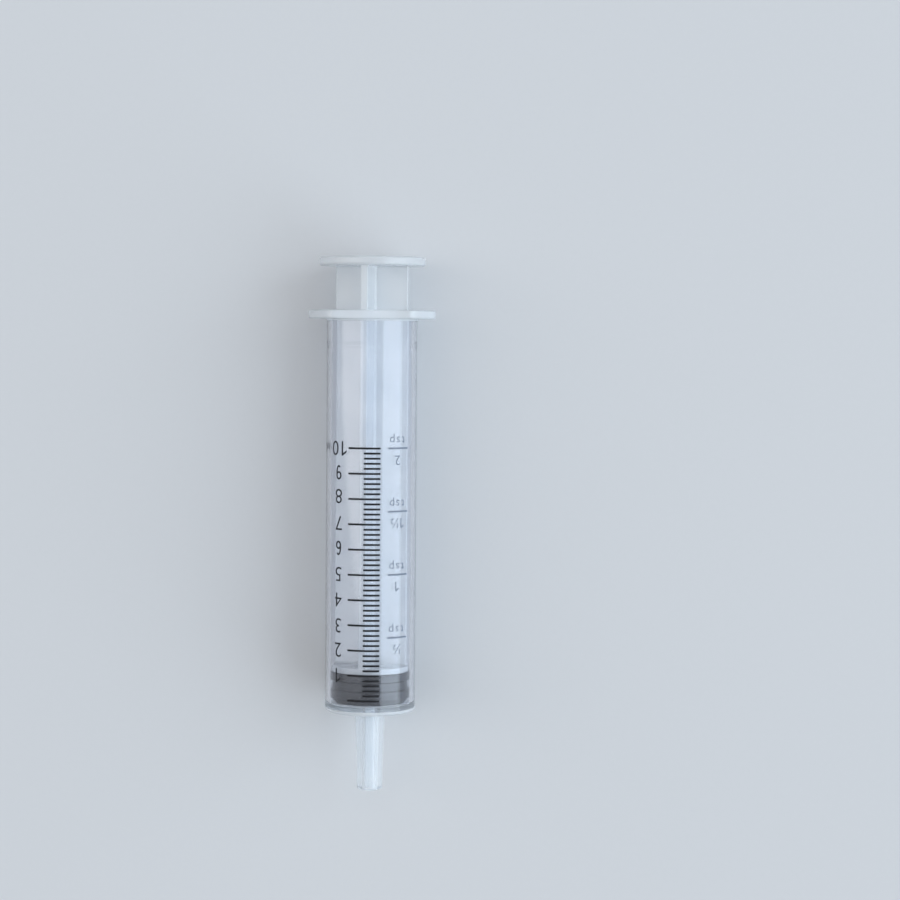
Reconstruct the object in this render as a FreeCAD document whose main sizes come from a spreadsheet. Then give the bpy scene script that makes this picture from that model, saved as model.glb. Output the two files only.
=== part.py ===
"""Ten millilitre oral syringe: a moulded barrel, a cross-ribbed plunger rod and a rubber piston seal.

The row frame has the syringe lying on its side: +Z up, the barrel's axis along Y, the nozzle towards -Y,
the printed scale facing up, and the origin on the resting surface below the middle of the bounding box.
Each moulding is drawn upright about its own Z axis and laid down by its Placement.
Lengths are millimetres, angles are degrees and volumes are millilitres.
"""

import FreeCAD
import Part

import math
import os

import Sketcher
from FreeCAD import Placement, Rotation, Vector

OUTPUT_FOLDER = "parts"
CUBIC_MM_PER_ML = 1000.0

# Alias, value and meaning of every driving dimension.
SIZES = (
    ("bore_diameter", 16.0, "inside of the barrel, which sets the scale"),
    ("barrel_wall", 1.0, "thickness of the barrel's tube"),
    ("barrel_length", 79.9, "open end to the shoulder's outer face"),
    ("end_wall", 1.7, "thickness of the wall that carries the nozzle"),
    ("mouth_chamfer", 0.4, "lead-in at the open end of the bore"),
    ("shoulder_round", 0.8, "outside edge where tube meets end wall"),
    ("bead_position", 6.9, "open end to the middle of the retaining bead"),
    ("bead_height", 0.1, "how far the retaining bead stands into the bore"),
    ("bead_width", 1.2, "length of the retaining bead along the axis"),
    ("wing_reach", 3.7, "tube's outside to the end of each finger wing"),
    ("flat_reach", 1.0, "tube's outside to each flat side of the flange"),
    ("flange_thickness", 1.75, "finger flange along the axis"),
    ("flange_corner", 1.5, "corners between the wings' arcs and the flats"),
    ("flange_edge", 0.4, "rounding of the flange's rim"),
    ("flange_root", 0.5, "fillet between flange and tube"),
    ("nozzle_length", 15.9, "end wall to the nozzle's open end"),
    ("nozzle_base_diameter", 6.0, "nozzle at the end wall"),
    ("nozzle_tip_diameter", 5.1, "nozzle along its straight tip"),
    ("nozzle_land", 5.0, "length of the nozzle's straight tip"),
    ("nozzle_root", 0.8, "fillet between nozzle and end wall"),
    ("nozzle_round", 0.4, "outside edge of the nozzle's open end"),
    ("channel_diameter", 2.0, "liquid channel through the nozzle"),
    ("zero_margin", 1.4, "zero mark to the inside of the end wall"),
    ("seal_end_gap", 0.1, "seal's nose to the end wall when pushed home"),
    ("seal_length", 4.9, "seal's rear face to the edge read at the scale"),
    ("seal_clearance", 0.04, "radial running clearance of the seal's lands"),
    ("seal_land", 1.4, "width of each sealing land"),
    ("seal_groove", 0.45, "depth of the groove between the lands"),
    ("seal_ramp", 0.3, "axial run of the groove's sloped sides"),
    ("seal_nose_diameter", 13.6, "flat at the front of the seal"),
    ("seal_lip", 1.4, "rear wall that holds the rod's barb"),
    ("seal_edge", 0.15, "rounding of the lands' outer edges"),
    ("rib_clearance", 0.7, "radial gap between ribs and bore"),
    ("rib_thickness", 1.4, "thickness of each rib"),
    ("rib_turn", 11.0, "how far the cross is turned from the flange"),
    ("core_diameter", 2.6, "round core where the ribs cross"),
    ("rod_disc_clearance", 0.4, "radial gap between the front disc and bore"),
    ("rod_disc_thickness", 1.2, "disc that backs the seal"),
    ("rod_seal_gap", 0.05, "front disc to the seal's rear face"),
    ("neck_diameter", 5.6, "neck through the seal's rear wall"),
    ("barb_diameter", 8.8, "widest part of the barb inside the seal"),
    ("barb_land", 1.2, "straight part of the barb"),
    ("barb_taper", 1.6, "sloped part of the barb"),
    ("barb_nose_diameter", 5.0, "front of the barb"),
    ("barb_clearance", 0.08, "gap all round the barb in its socket"),
    ("thumb_diameter", 21.2, "thumb disc"),
    ("thumb_thickness", 1.75, "thumb disc along the axis"),
    ("thumb_gap", 8.7, "thumb disc to the barrel's open end, pushed home"),
    ("thumb_edge", 0.5, "rounding of the thumb disc's rim"),
    ("grip_radius", 3.0, "radius of the first grip groove in the thumb disc"),
    ("grip_pitch", 2.0, "spacing of the grip grooves"),
    ("grip_width", 0.7, "width of each grip groove"),
    ("grip_depth", 0.3, "depth of each grip groove"),
    ("ink_thickness", 0.03, "printed film on the barrel"),
    ("line_width", 0.38, "graduation line along the axis"),
    ("scale_offset", 2.1, "top of the barrel to the lines' common edge"),
    ("short_line", 3.3, "minor graduation, along the curve"),
    ("long_line", 6.5, "numbered graduation, along the curve"),
    ("scale_volume", 10.0, "last graduation"),
    ("spoon_volume", 5.0, "one teaspoon"),
    ("spoon_offset", 3.7, "top of the barrel to the teaspoon lines"),
    ("spoon_line", 4.7, "teaspoon line, along the curve"),
)
STEPS_PER_ML = 5
STEPS_PER_SPOON = 2
GRIP_GROOVES = 3

# Lengths that follow from the sheet, written as expressions so that they stay bound to it.
BORE_RADIUS = "(Sizes.bore_diameter / 2)"
BARREL_RADIUS = f"({BORE_RADIUS} + Sizes.barrel_wall)"
FLANGE_RADIUS = f"({BARREL_RADIUS} + Sizes.wing_reach)"
FLAT_RISE = f"({BARREL_RADIUS} + Sizes.flat_reach)"
CHAMBER_DEPTH = "(Sizes.barrel_length - Sizes.end_wall)"
NOZZLE_END = "(Sizes.barrel_length + Sizes.nozzle_length)"
ZERO_MARK = f"({CHAMBER_DEPTH} - Sizes.zero_margin)"
SEAL_REAR = f"({ZERO_MARK} - Sizes.seal_length)"
SEAL_RADIUS = f"({BORE_RADIUS} - Sizes.seal_clearance)"
SEAL_NOSE = "(Sizes.seal_length + Sizes.zero_margin - Sizes.seal_end_gap)"
BARREL_START = "(Sizes.thumb_thickness + Sizes.thumb_gap)"
DISC_FRONT = f"({BARREL_START} + {SEAL_REAR} - Sizes.rod_seal_gap)"
DISC_REAR = f"({DISC_FRONT} - Sizes.rod_disc_thickness)"
BARB_REAR = f"({BARREL_START} + {SEAL_REAR} + Sizes.seal_lip + Sizes.barb_clearance)"
OVERALL_LENGTH = f"({BARREL_START} + {NOZZLE_END})"
AXIS_HEIGHT = f"(max(Sizes.thumb_diameter / 2; {FLAT_RISE}))"


def half(alias):
    """Expression for half of a named size."""
    return f"(Sizes.{alias} / 2)"


def make_sheet(document):
    """Writes the driving dimensions into a spreadsheet, one aliased number per row."""
    sheet = document.addObject("Spreadsheet::Sheet", "Sizes")
    for row, (alias, value, meaning) in enumerate(SIZES, start=1):
        sheet.set(f"A{row}", alias)
        sheet.set(f"B{row}", str(value))
        sheet.set(f"C{row}", meaning)
        sheet.setAlias(f"B{row}", alias)
    document.recompute()
    return sheet


def make_body(document, label):
    """Adds an empty PartDesign body."""
    body = document.addObject("PartDesign::Body", label)
    body.Label = label
    return body


def origin_feature(body, role):
    """The body's own origin plane or axis of that role, such as XY_Plane."""
    return next(item for item in body.Origin.OriginFeatures if item.Role == role)


def start_sketch(body, name, plane):
    """A sketch on one of the body's origin planes."""
    sketch = body.newObject("Sketcher::SketchObject", name)
    sketch.AttachmentSupport = [(origin_feature(body, plane), "")]
    sketch.MapMode = "FlatFace"
    return sketch


def place_point(sketch, geometry, end, across, along):
    """Ties one end of an edge to two sheet expressions, or to an axis where one is zero."""
    for kind, axis, expression in (("DistanceX", -2, across), ("DistanceY", -1, along)):
        if expression == "0":
            sketch.addConstraint(Sketcher.Constraint("PointOnObject", geometry, end, axis))
            continue
        value = sketch.evalExpression(expression)
        index = sketch.addConstraint(Sketcher.Constraint(kind, -1, 1, geometry, end, float(value)))
        sketch.setExpression(f"Constraints[{index}]", expression)


def draw_outline(sketch, corners):
    """Draws a closed outline of straight edges. Each corner is a pair of expressions."""
    points = [Vector(*(float(sketch.evalExpression(value)) for value in corner), 0) for corner in corners]
    first = sketch.GeometryCount
    for start, end in zip(points, points[1:] + points[:1]):
        sketch.addGeometry(Part.LineSegment(start, end))
    for index, (across, along) in enumerate(corners):
        following = (index + 1) % len(corners)
        sketch.addConstraint(Sketcher.Constraint("Coincident", first + index, 2, first + following, 1))
        place_point(sketch, first + index, 1, across, along)
    return sketch


def revolve(body, kind, name, corners):
    """Turns an outline of (radius, height) corners about the body's Z axis, to add or to cut."""
    sketch = draw_outline(start_sketch(body, f"{name}_profile", "XZ_Plane"), corners)
    feature = body.newObject(f"PartDesign::{kind}", name)
    feature.Profile = sketch
    feature.ReferenceAxis = (origin_feature(body, "Z_Axis"), [""])
    feature.Angle = 360.0
    body.Document.recompute()
    return feature


def circles_at(shape, radius, height):
    """Names of the shape's full or part circles about Z of that radius, at that height."""
    found = []
    for index, edge in enumerate(shape.Edges, start=1):
        curve = edge.Curve
        if not isinstance(curve, Part.Circle):
            continue
        centre = curve.Center
        on_axis = math.hypot(centre.x, centre.y) < 1e-6
        if on_axis and abs(curve.Radius - radius) < 1e-6 and abs(centre.z - height) < 1e-6:
            found.append(f"Edge{index}")
    return found


def edges_where(shape, test):
    """Names of the shape's edges that pass a test."""
    return [f"Edge{index}" for index, edge in enumerate(shape.Edges, start=1) if test(edge)]


def round_edges(body, name, edges, size):
    """Fillets named edges of the body's latest feature to a size given by an expression."""
    if not edges:
        raise RuntimeError(f"{name}: no edge to round")
    feature = body.newObject("PartDesign::Fillet", name)
    feature.Base = (feature.BaseFeature, edges)
    feature.setExpression("Radius", size)
    body.Document.recompute()
    return feature


def lay_down(body, start):
    """Lays an upright piece along the row's Y axis. start is its origin's distance from the thumb face."""
    body.Placement = Placement(Vector(), Rotation(Vector(1, 0, 0), 90))
    body.setExpression("Placement.Base.y", f"{OVERALL_LENGTH} / 2 - {start}")
    body.setExpression("Placement.Base.z", AXIS_HEIGHT)


def make_barrel(document):
    """The barrel: tube, finger flange, end wall and nozzle, moulded in one."""
    body = make_body(document, "barrel")
    revolve(
        body,
        "Revolution",
        "tube_and_nozzle",
        (
            ("0", "0"),
            (BARREL_RADIUS, "0"),
            (BARREL_RADIUS, "Sizes.barrel_length"),
            (half("nozzle_base_diameter"), "Sizes.barrel_length"),
            (half("nozzle_tip_diameter"), f"{NOZZLE_END} - Sizes.nozzle_land"),
            (half("nozzle_tip_diameter"), NOZZLE_END),
            ("0", NOZZLE_END),
        ),
    )
    add_flange(body)
    add_chamber(body)
    value = body.evalExpression
    barrel_radius = value(BARREL_RADIUS)
    thickness = value("Sizes.flange_thickness")
    length = value("Sizes.barrel_length")
    round_edges(body, "flange_root", circles_at(body.Shape, barrel_radius, thickness), "Sizes.flange_root")
    round_edges(body, "shoulder", circles_at(body.Shape, barrel_radius, length), "Sizes.shoulder_round")
    nozzle_base = value(half("nozzle_base_diameter"))
    nozzle_tip = value(half("nozzle_tip_diameter"))
    round_edges(body, "nozzle_root", circles_at(body.Shape, nozzle_base, length), "Sizes.nozzle_root")
    round_edges(body, "nozzle_end", circles_at(body.Shape, nozzle_tip, value(NOZZLE_END)), "Sizes.nozzle_round")
    lay_down(body, BARREL_START)
    return body


def add_flange(body):
    """The finger flange: a disc with two flats, its corners and rim rounded."""
    sketch = start_sketch(body, "flange_outline", "XY_Plane")
    radius = float(sketch.evalExpression(FLANGE_RADIUS))
    rise = float(sketch.evalExpression(FLAT_RISE))
    reach = math.sqrt(radius**2 - rise**2)
    turn = math.asin(rise / radius)
    circle = Part.Circle(Vector(), Vector(0, 0, 1), radius)
    sketch.addGeometry(
        [
            Part.ArcOfCircle(circle, -turn, turn),
            Part.LineSegment(Vector(reach, rise, 0), Vector(-reach, rise, 0)),
            Part.ArcOfCircle(circle, math.pi - turn, math.pi + turn),
            Part.LineSegment(Vector(-reach, -rise, 0), Vector(reach, -rise, 0)),
        ]
    )
    right, top, left, bottom = range(4)
    constraints = (
        ("Coincident", right, 3, -1, 1),
        ("Coincident", left, 3, -1, 1),
        ("Coincident", right, 2, top, 1),
        ("Coincident", top, 2, left, 1),
        ("Coincident", left, 2, bottom, 1),
        ("Coincident", bottom, 2, right, 1),
        ("Horizontal", top),
        ("Horizontal", bottom),
        ("Equal", right, left),
    )
    for constraint in constraints:
        sketch.addConstraint(Sketcher.Constraint(*constraint))
    width = sketch.addConstraint(Sketcher.Constraint("Radius", right, radius))
    sketch.setExpression(f"Constraints[{width}]", FLANGE_RADIUS)
    for start, end in (((-1, 1), (top, 1)), ((bottom, 2), (-1, 1))):
        depth = sketch.addConstraint(Sketcher.Constraint("DistanceY", *start, *end, rise))
        sketch.setExpression(f"Constraints[{depth}]", FLAT_RISE)
    pad = body.newObject("PartDesign::Pad", "flange")
    pad.Profile = sketch
    pad.setExpression("Length", "Sizes.flange_thickness")
    body.Document.recompute()

    def is_corner(edge):
        """Whether an edge is one of the four upright corners of the outline."""
        middle = edge.valueAt((edge.FirstParameter + edge.LastParameter) / 2)
        on_flat = abs(abs(middle.y) - rise) < 1e-6 and abs(abs(middle.x) - reach) < 1e-6
        return on_flat and edge.BoundBox.ZLength > 1e-3

    round_edges(body, "flange_corners", edges_where(body.Shape, is_corner), "Sizes.flange_corner")
    thickness = body.evalExpression("Sizes.flange_thickness")
    tube_radius = body.evalExpression(BARREL_RADIUS)

    def is_rim(edge):
        """Whether an edge runs round the flange's outline, at either face."""
        middle = edge.valueAt((edge.FirstParameter + edge.LastParameter) / 2)
        level = abs(edge.BoundBox.ZLength) < 1e-6
        at_face = abs(middle.z) < 1e-6 or abs(middle.z - thickness) < 1e-6
        return level and at_face and math.hypot(middle.x, middle.y) > tube_radius + 1e-3

    round_edges(body, "flange_rim", edges_where(body.Shape, is_rim), "Sizes.flange_edge")


def add_chamber(body):
    """Cuts the bore and the nozzle's channel, then adds the bead that keeps the plunger in."""
    revolve(
        body,
        "Groove",
        "chamber",
        (
            ("0", "0"),
            (f"{BORE_RADIUS} + Sizes.mouth_chamfer", "0"),
            (BORE_RADIUS, "Sizes.mouth_chamfer"),
            (BORE_RADIUS, CHAMBER_DEPTH),
            (half("channel_diameter"), CHAMBER_DEPTH),
            (half("channel_diameter"), NOZZLE_END),
            ("0", NOZZLE_END),
        ),
    )
    crest = f"{BORE_RADIUS} - Sizes.bead_height"
    rooted = f"{BORE_RADIUS} + {half('barrel_wall')}"
    revolve(
        body,
        "Revolution",
        "retaining_bead",
        (
            (rooted, f"Sizes.bead_position - {half('bead_width')}"),
            (BORE_RADIUS, f"Sizes.bead_position - {half('bead_width')}"),
            (crest, f"Sizes.bead_position - Sizes.bead_width / 6"),
            (crest, f"Sizes.bead_position + Sizes.bead_width / 6"),
            (BORE_RADIUS, f"Sizes.bead_position + {half('bead_width')}"),
            (rooted, f"Sizes.bead_position + {half('bead_width')}"),
        ),
    )


def make_piston_seal(document):
    """The rubber seal: two sealing lands, a coned nose and a socket for the rod's barb."""
    body = make_body(document, "piston_seal")
    groove_radius = f"{SEAL_RADIUS} - Sizes.seal_groove"
    front_land = "(Sizes.seal_length - Sizes.seal_land)"
    neck_hole = f"{half('neck_diameter')} + Sizes.barb_clearance"
    socket_radius = f"{half('barb_diameter')} + Sizes.barb_clearance"
    socket_shoulder = "(Sizes.seal_lip + Sizes.barb_land + 2 * Sizes.barb_clearance)"
    socket_nose = f"{half('barb_nose_diameter')} + Sizes.barb_clearance"
    revolve(
        body,
        "Revolution",
        "seal",
        (
            (neck_hole, "0"),
            (SEAL_RADIUS, "0"),
            (SEAL_RADIUS, "Sizes.seal_land"),
            (groove_radius, "Sizes.seal_land + Sizes.seal_ramp"),
            (groove_radius, f"{front_land} - Sizes.seal_ramp"),
            (SEAL_RADIUS, front_land),
            (SEAL_RADIUS, "Sizes.seal_length"),
            (half("seal_nose_diameter"), SEAL_NOSE),
            ("0", SEAL_NOSE),
            ("0", f"{socket_shoulder} + Sizes.barb_taper"),
            (socket_nose, f"{socket_shoulder} + Sizes.barb_taper"),
            (socket_radius, socket_shoulder),
            (socket_radius, "Sizes.seal_lip"),
            (neck_hole, "Sizes.seal_lip"),
        ),
    )
    value = body.evalExpression
    seal_radius = value(SEAL_RADIUS)
    edges = [
        edge
        for height in ("0 * Sizes.seal_land", "Sizes.seal_land", front_land, "Sizes.seal_length")
        for edge in circles_at(body.Shape, seal_radius, value(height))
    ]
    round_edges(body, "land_edges", edges, "Sizes.seal_edge")
    lay_down(body, f"({BARREL_START} + {SEAL_REAR})")
    return body


def make_plunger_rod(document):
    """The plunger rod: thumb disc, four ribs on a round core, a disc behind the seal and its barb."""
    body = make_body(document, "plunger_rod")
    neck = half("neck_diameter")
    barb_shoulder = f"({BARB_REAR} + Sizes.barb_land)"
    revolve(
        body,
        "Revolution",
        "core_and_discs",
        (
            ("0", "0"),
            (half("thumb_diameter"), "0"),
            (half("thumb_diameter"), "Sizes.thumb_thickness"),
            (half("core_diameter"), "Sizes.thumb_thickness"),
            (half("core_diameter"), DISC_REAR),
            (f"{BORE_RADIUS} - Sizes.rod_disc_clearance", DISC_REAR),
            (f"{BORE_RADIUS} - Sizes.rod_disc_clearance", DISC_FRONT),
            (neck, DISC_FRONT),
            (neck, BARB_REAR),
            (half("barb_diameter"), BARB_REAR),
            (half("barb_diameter"), barb_shoulder),
            (half("barb_nose_diameter"), f"{barb_shoulder} + Sizes.barb_taper"),
            ("0", f"{barb_shoulder} + Sizes.barb_taper"),
        ),
    )
    add_ribs(body)
    value = body.evalExpression
    thumb_radius = value(half("thumb_diameter"))
    rim = circles_at(body.Shape, thumb_radius, 0.0)
    rim += circles_at(body.Shape, thumb_radius, value("Sizes.thumb_thickness"))
    round_edges(body, "thumb_rim", rim, "Sizes.thumb_edge")
    for count in range(GRIP_GROOVES):
        radius = f"(Sizes.grip_radius + {count} * Sizes.grip_pitch)"
        revolve(
            body,
            "Groove",
            f"grip_groove_{count + 1}",
            (
                (f"{radius} - {half('grip_width')}", "0"),
                (f"{radius} + {half('grip_width')}", "0"),
                (radius, "Sizes.grip_depth"),
            ),
        )
    lay_down(body, "0")
    return body


def add_ribs(body):
    """One rib right through the core, then the same again a quarter turn on."""
    sketch = start_sketch(body, "rib_section", "XY_Plane")
    sketch.setExpression("AttachmentOffset.Base.z", "Sizes.thumb_thickness")
    sketch.setExpression("AttachmentOffset.Rotation.Angle", "Sizes.rib_turn * 1 deg")
    reach = float(sketch.evalExpression(f"{BORE_RADIUS} - Sizes.rib_clearance"))
    side = float(sketch.evalExpression(half("rib_thickness")))
    corners = [Vector(-reach, -side, 0), Vector(reach, -side, 0), Vector(reach, side, 0), Vector(-reach, side, 0)]
    for start, end in zip(corners, corners[1:] + corners[:1]):
        sketch.addGeometry(Part.LineSegment(start, end))
    for index in range(4):
        sketch.addConstraint(Sketcher.Constraint("Coincident", index, 2, (index + 1) % 4, 1))
        kind = "Horizontal" if index % 2 == 0 else "Vertical"
        sketch.addConstraint(Sketcher.Constraint(kind, index))
    sketch.addConstraint(Sketcher.Constraint("Symmetric", 0, 1, 2, 1, -1, 1))
    span = sketch.addConstraint(Sketcher.Constraint("DistanceX", 0, 1, 0, 2, 2 * reach))
    sketch.setExpression(f"Constraints[{span}]", f"2 * ({BORE_RADIUS} - Sizes.rib_clearance)")
    thickness = sketch.addConstraint(Sketcher.Constraint("DistanceY", 1, 1, 1, 2, 2 * side))
    sketch.setExpression(f"Constraints[{thickness}]", "Sizes.rib_thickness")
    pad = body.newObject("PartDesign::Pad", "rib")
    pad.Profile = sketch
    pad.setExpression("Length", f"{DISC_REAR} - Sizes.thumb_thickness")
    body.Document.recompute()
    pattern = body.newObject("PartDesign::PolarPattern", "cross_ribs")
    pattern.Originals = [pad]
    pattern.Axis = (origin_feature(body, "Z_Axis"), [""])
    pattern.Angle = 90.0
    pattern.Occurrences = 2
    body.Tip = pattern
    body.Document.recompute()


def printed_line(radius, film, width, offset, length):
    """One printed line: a film on the tube that starts at an arc offset from the top and runs along the curve."""
    corners = [
        Vector(0, radius, -width / 2),
        Vector(0, radius + film, -width / 2),
        Vector(0, radius + film, width / 2),
        Vector(0, radius, width / 2),
    ]
    section = Part.Face(Part.makePolygon(corners + corners[:1]))
    axis = Vector(0, 0, 1)
    section.rotate(Vector(), axis, -math.degrees(offset / radius))
    return section.revolve(Vector(), axis, math.degrees(length / radius))


def make_scale(document, label, marks, offset):
    """Prints a set of lines. marks holds (volume in millilitres, line length along the curve)."""
    sheet = document.getObject("Sizes")
    radius = float(sheet.evalExpression(BARREL_RADIUS))
    bore_area = math.pi * float(sheet.evalExpression(BORE_RADIUS)) ** 2
    zero = float(sheet.evalExpression(ZERO_MARK))
    lines = []
    for volume, length in marks:
        line = printed_line(radius, sheet.ink_thickness, sheet.line_width, offset, length)
        line.translate(Vector(0, 0, zero - volume * CUBIC_MM_PER_ML / bore_area))
        lines.append(line)
    feature = document.addObject("Part::Feature", label)
    feature.Label = label
    feature.Shape = Part.makeCompound(lines)
    lay_down(feature, BARREL_START)
    return feature


def make_ml_scale(document):
    """Millilitre graduations, five to the millilitre, with a longer line at each whole one."""
    sheet = document.getObject("Sizes")
    marks = []
    for step in range(round(sheet.scale_volume * STEPS_PER_ML) + 1):
        length = sheet.short_line if step % STEPS_PER_ML else sheet.long_line
        marks.append((step / STEPS_PER_ML, length))
    return make_scale(document, "ml_scale", marks, sheet.scale_offset)


def make_spoon_scale(document):
    """Teaspoon graduations, one at each half spoon, on the other side of the top."""
    sheet = document.getObject("Sizes")
    step_volume = sheet.spoon_volume / STEPS_PER_SPOON
    count = math.floor(sheet.scale_volume / step_volume + 1e-9)
    marks = [(step_volume * step, sheet.spoon_line) for step in range(1, count + 1)]
    return make_scale(document, "spoon_scale", marks, sheet.spoon_offset + sheet.spoon_line)


def check(document, pieces):
    """Stops with a message if any object failed or any piece isn't made of valid closed solids."""
    for item in document.Objects:
        if {"Invalid", "Error"} & set(item.State):
            raise RuntimeError(f"{item.Name} failed: {item.State}")
    for piece in pieces:
        shape = piece.Shape
        if shape.isNull() or not shape.isValid() or not shape.Solids:
            raise RuntimeError(f"{piece.Label} has no valid shape")
        print(f"{piece.Label}: {len(shape.Solids)} solid(s), {shape.Volume:.2f} mm3")


def main():
    """Builds the document and writes one STEP file per piece."""
    document = FreeCAD.newDocument("oral_syringe")
    make_sheet(document)
    pieces = [
        make_barrel(document),
        make_piston_seal(document),
        make_plunger_rod(document),
        make_ml_scale(document),
        make_spoon_scale(document),
    ]
    document.recompute()
    check(document, pieces)
    os.makedirs(OUTPUT_FOLDER, exist_ok=True)
    for piece in pieces:
        piece.Shape.exportStep(os.path.join(OUTPUT_FOLDER, f"{piece.Label}.step"))


main()
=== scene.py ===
"""A ten millilitre oral syringe on a pale table: clear graduated barrel, rubber seal and cross-ribbed rod.

Lengths inside the classes are in millimetres. Those along the barrel's axis are measured towards the nozzle,
from the barrel's open end, the seal's rear face or the thumb disc's outer face. They become metres in the
shared frame when a mesh is placed.
"""

import logging
import math
from dataclasses import dataclass, field, replace
from enum import Enum
from typing import Callable, Iterable, Sequence

import bmesh
import bpy
from mathutils import Matrix, Vector


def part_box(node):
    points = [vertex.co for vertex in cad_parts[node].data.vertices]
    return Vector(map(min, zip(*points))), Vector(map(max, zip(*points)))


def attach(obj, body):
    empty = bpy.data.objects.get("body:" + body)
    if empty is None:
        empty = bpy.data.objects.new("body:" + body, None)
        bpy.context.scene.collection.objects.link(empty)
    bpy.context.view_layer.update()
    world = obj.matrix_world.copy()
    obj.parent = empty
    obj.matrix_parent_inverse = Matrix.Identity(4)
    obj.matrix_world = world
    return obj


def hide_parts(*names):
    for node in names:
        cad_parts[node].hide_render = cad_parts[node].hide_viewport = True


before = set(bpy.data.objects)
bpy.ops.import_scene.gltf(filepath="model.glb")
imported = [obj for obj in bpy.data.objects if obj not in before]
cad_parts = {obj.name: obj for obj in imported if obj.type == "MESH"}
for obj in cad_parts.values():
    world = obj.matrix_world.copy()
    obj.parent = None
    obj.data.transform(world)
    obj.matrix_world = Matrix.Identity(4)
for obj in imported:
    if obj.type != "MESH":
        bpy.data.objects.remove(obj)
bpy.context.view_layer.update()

LOG = logging.getLogger("oral_syringe")
MM = 0.001
PER_MM = 1.0 / MM
TINY = 1e-6  # a length, in millimetres, that counts as none
WELD = 1e-8  # metres within which two points of a piece are one
FIGURE_HEIGHT = 0.69  # of the built-in font's figures, as a share of its size
SLIVER = 0.004  # gap closed in a character's outline, as a share of the font's size

Profile = list[tuple[float, float]]
Corner = tuple[float, float, float]
Colour = tuple[float, float, float]
Socket = bpy.types.NodeSocket


class Body(Enum):
    """The rigid bodies that pieces ride on."""

    BARREL = "barrel"
    PISTON = "piston"
    PLUNGER = "plunger"


class Slot(Enum):
    """Names for the kinds of material on the pieces."""

    BARREL = "barrel"
    SEAL = "seal"
    ROD = "rod"
    INK = "ink"
    FAINT_INK = "faint_ink"


# ---- Frame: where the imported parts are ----


@dataclass(frozen=True)
class Layout:
    """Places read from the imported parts, in metres.

    Attributes:
        axis_height: height of the barrel's axis above the table.
        open_end: Y of the barrel's open end.
        seal_rear: Y of the seal's rear face.
        thumb_face: Y of the thumb disc's outer face.
    """

    axis_height: float
    open_end: float
    seal_rear: float
    thumb_face: float

    @classmethod
    def read(cls) -> "Layout":
        """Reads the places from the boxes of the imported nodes.

        Returns:
            The layout of the three moulded pieces at rest.
        """
        seal_low, seal_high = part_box("piston_seal")
        return cls(
            axis_height=(seal_low[2] + seal_high[2]) / 2,
            open_end=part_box("barrel")[1][1],
            seal_rear=seal_high[1],
            thumb_face=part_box("plunger_rod")[1][1],
        )

    def point(self, origin: float, angle: float, radius: float, along: float) -> Vector:
        """Places a point given round the barrel's axis.

        Args:
            origin: Y from which the distance along the axis is counted towards the nozzle, in metres.
            angle: angle from straight up towards +X, in radians.
            radius: distance from the axis, in millimetres.
            along: distance from the origin towards the nozzle, in millimetres.

        Returns:
            The point in the shared frame, in metres.
        """
        return Vector(
            (
                radius * MM * math.sin(angle),
                origin - along * MM,
                self.axis_height + radius * MM * math.cos(angle),
            )
        )


# ---- Mesh helpers ----


def rounded(corners: Sequence[Corner], steps: int = 5, support: float = 0.05) -> Profile:
    """Rounds the corners of a closed outline and adds close support points beside each rounding.

    Args:
        corners: (across, along, corner radius) for each corner, in order round the outline.
        steps: straight pieces in each rounding.
        support: distance from a rounding to its support point, which keeps flats flat when shaded smooth.

    Returns:
        The outline's points in the same order.
    """
    nearly_straight = math.pi / 2 - 1e-4
    most_of_side = 0.45
    points: Profile = []
    count = len(corners)
    for index, (across, along, radius) in enumerate(corners):
        here = Vector((across, along))
        before = Vector(corners[index - 1][:2])
        after = Vector(corners[(index + 1) % count][:2])
        back, ahead = before - here, after - here
        if radius <= 0 or min(back.length, ahead.length) < TINY:
            points.append((across, along))
            continue
        back_unit, ahead_unit = back.normalized(), ahead.normalized()
        half_turn = back_unit.angle(ahead_unit) / 2
        if half_turn > nearly_straight:
            points.append((across, along))
            continue
        run = min(radius / math.tan(half_turn), most_of_side * back.length, most_of_side * ahead.length)
        true_radius = run * math.tan(half_turn)
        bisector = (back_unit + ahead_unit).normalized()
        centre = here + bisector * (true_radius / math.sin(half_turn))
        start, end = here + back_unit * run, here + ahead_unit * run
        first, last = start - centre, end - centre
        sweep = first.angle_signed(last)
        if back.length - run > 2 * support:
            points.append(tuple(start + back_unit * support))
        for step in range(steps + 1):
            turned = first.copy()
            turned.rotate(Matrix.Rotation(-sweep * step / steps, 2))
            points.append(tuple(centre + turned))
        if ahead.length - run > 2 * support:
            points.append(tuple(end + ahead_unit * support))
    return points


def mesh_object(name: str, build: bmesh.types.BMesh, smooth: bool = True) -> bpy.types.Object:
    """Turns a bmesh into a linked object at the origin, faces outwards.

    Args:
        name: the new object's name.
        build: the finished bmesh, which is freed.
        smooth: whether faces are shaded smooth.

    Returns:
        The new object.
    """
    bmesh.ops.remove_doubles(build, verts=build.verts, dist=WELD)
    bmesh.ops.recalc_face_normals(build, faces=build.faces)
    for face in build.faces:
        face.smooth = smooth
    mesh = bpy.data.meshes.new(name)
    build.to_mesh(mesh)
    build.free()
    piece = bpy.data.objects.new(name, mesh)
    bpy.context.scene.collection.objects.link(piece)
    return piece


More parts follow.
